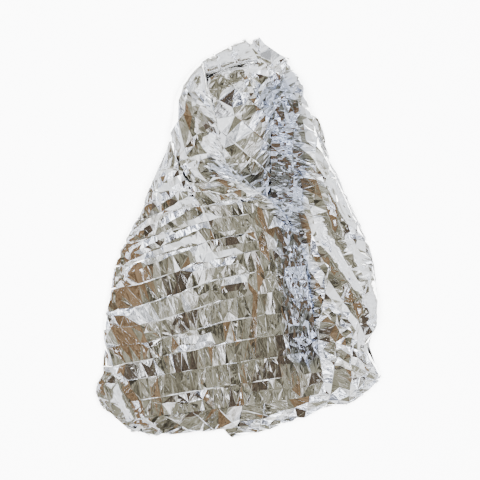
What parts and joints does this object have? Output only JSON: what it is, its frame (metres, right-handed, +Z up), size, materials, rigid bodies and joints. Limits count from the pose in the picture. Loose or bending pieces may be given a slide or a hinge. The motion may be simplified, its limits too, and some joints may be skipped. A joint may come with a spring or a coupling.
{
  "type": "emergency foil blanket",
  "caption": "Thin metallised film blanket folded as a hooded wrap and laid flat, with packing creases all over",
  "frame": {"origin": "middle of the bounding box, on the surface it lies on", "axes": "+Y from the bottom hem towards the hood, +X towards the side panel folded in first, +Z up off the surface"},
  "size_m": [0.8673, 1.2095, 0.1016],
  "materials": {
    "film": "mirror-bright crinkled film, silver on both faces"
  },
  "bodies": {
    "root": {"blanket": "film"}
  },
  "joints": []
}
